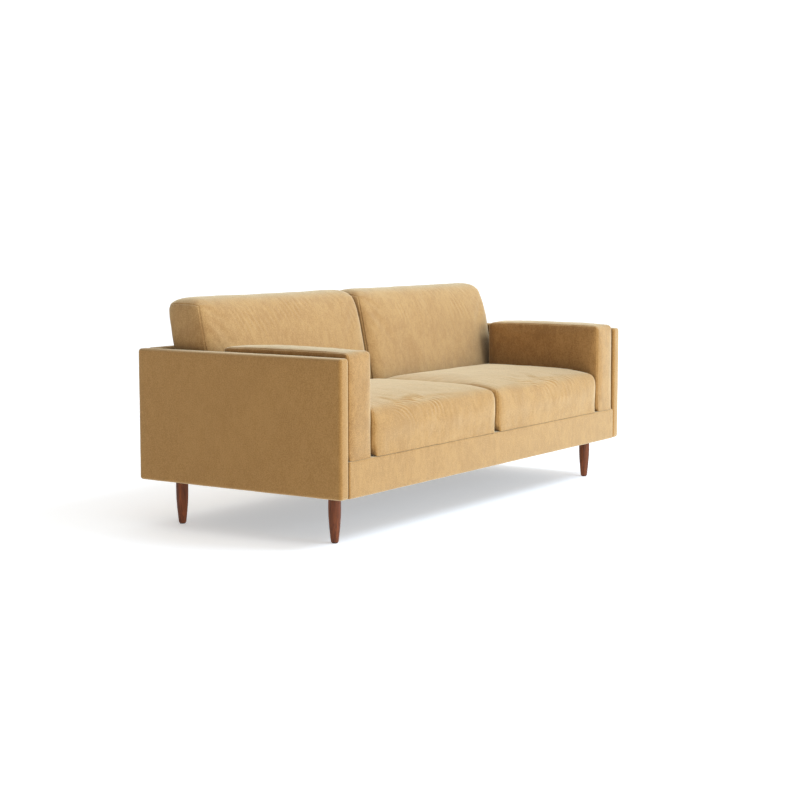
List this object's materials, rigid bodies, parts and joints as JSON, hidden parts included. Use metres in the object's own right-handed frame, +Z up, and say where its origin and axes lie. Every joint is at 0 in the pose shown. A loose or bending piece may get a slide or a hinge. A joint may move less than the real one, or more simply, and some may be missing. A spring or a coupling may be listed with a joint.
{
  "type": "sofa",
  "caption": "Upholstered velvet sofa with boxy arm panels, inner arm pads, loose crowned seat cushions, leaning back cushions and turned tapered wooden legs.",
  "frame": {"origin": "on the floor under the middle of the sofa's footprint", "axes": "+X to the right seen from the front, +Y to the rear, +Z up"},
  "size_m": [2.134, 0.929, 0.857],
  "materials": {
    "velvet": "matte",
    "lining": "matte",
    "dust_cloth": "matte",
    "foam": "matte",
    "batting": "matte",
    "webbing": "matte",
    "walnut": "satin",
    "frame_wood": "matte",
    "spring_steel": "satin",
    "zinc_steel": "satin",
    "zip": "satin",
    "glide": "matte"
  },
  "bodies": {
    "base": {"front_rail_cover": "velvet", "front_rail_padding": "batting", "front_rail_board": "frame_wood", "back_cover": "velvet", "back_padding": "batting", "back_bottom_rail": "frame_wood", "back_top_rail": "frame_wood", "back_posts": "frame_wood", "inside_back_lining": "lining", "inside_back_pad": "foam", "inside_back_webbing": "webbing", "inside_back_ribs": "frame_wood", "seat_side_rails": "frame_wood", "seat_rear_rail": "frame_wood", "seat_cross_rails": "frame_wood", "corner_blocks": "frame_wood", "seat_springs": "spring_steel", "spring_clips": "zinc_steel", "deck_padding": "batting", "deck_cloth": "lining", "dust_cover": "dust_cloth", "leg_front_left": "walnut", "leg_front_right": "walnut", "leg_rear_left": "walnut", "leg_rear_right": "walnut", "leg_glides": "glide", "leg_plates": "zinc_steel", "leg_bolts": "zinc_steel", "t_nuts": "zinc_steel", "arm_bolts": "zinc_steel", "left_arm_cover": "velvet", "left_arm_padding": "batting", "left_arm_front_post": "frame_wood", "left_arm_rear_post": "frame_wood", "left_arm_top_rail": "frame_wood", "left_arm_bottom_rail": "frame_wood", "right_arm_cover": "velvet", "right_arm_padding": "batting", "right_arm_front_post": "frame_wood", "right_arm_rear_post": "frame_wood", "right_arm_top_rail": "frame_wood", "right_arm_bottom_rail": "frame_wood"},
    "left_seat_cushion": {"left_seat_cover": "velvet", "left_seat_wrap": "batting", "left_seat_core": "foam", "left_seat_zip": "zip"},
    "left_back_cushion": {"left_back_cushion_cover": "velvet", "left_back_cushion_fill": "batting", "left_back_cushion_zip": "zip"},
    "left_arm_pad": {"left_arm_pad_cover": "velvet", "left_arm_pad_core": "foam"},
    "right_seat_cushion": {"right_seat_cover": "velvet", "right_seat_wrap": "batting", "right_seat_core": "foam", "right_seat_zip": "zip"},
    "right_back_cushion": {"right_back_cushion_cover": "velvet", "right_back_cushion_fill": "batting", "right_back_cushion_zip": "zip"},
    "right_arm_pad": {"right_arm_pad_cover": "velvet", "right_arm_pad_core": "foam"}
  },
  "joints": [
    {"name": "left_seat_cushion_lift", "type": "slide", "parent": "base", "child": "left_seat_cushion", "axis": [0, 0, 1], "range_m": [0, 0.56]},
    {"name": "left_back_cushion_pull", "type": "slide", "parent": "base", "child": "left_back_cushion", "axis": [0, 0.1994, 0.9799], "range_m": [0, 0.57]},
    {"name": "left_arm_pad_lift", "type": "slide", "parent": "base", "child": "left_arm_pad", "axis": [0, 0, 1], "range_m": [0, 0.56]},
    {"name": "right_seat_cushion_lift", "type": "slide", "parent": "base", "child": "right_seat_cushion", "axis": [0, 0, 1], "range_m": [0, 0.56]},
    {"name": "right_back_cushion_pull", "type": "slide", "parent": "base", "child": "right_back_cushion", "axis": [0, 0.1994, 0.9799], "range_m": [0, 0.57]},
    {"name": "right_arm_pad_lift", "type": "slide", "parent": "base", "child": "right_arm_pad", "axis": [0, 0, 1], "range_m": [0, 0.56]}
  ]
}
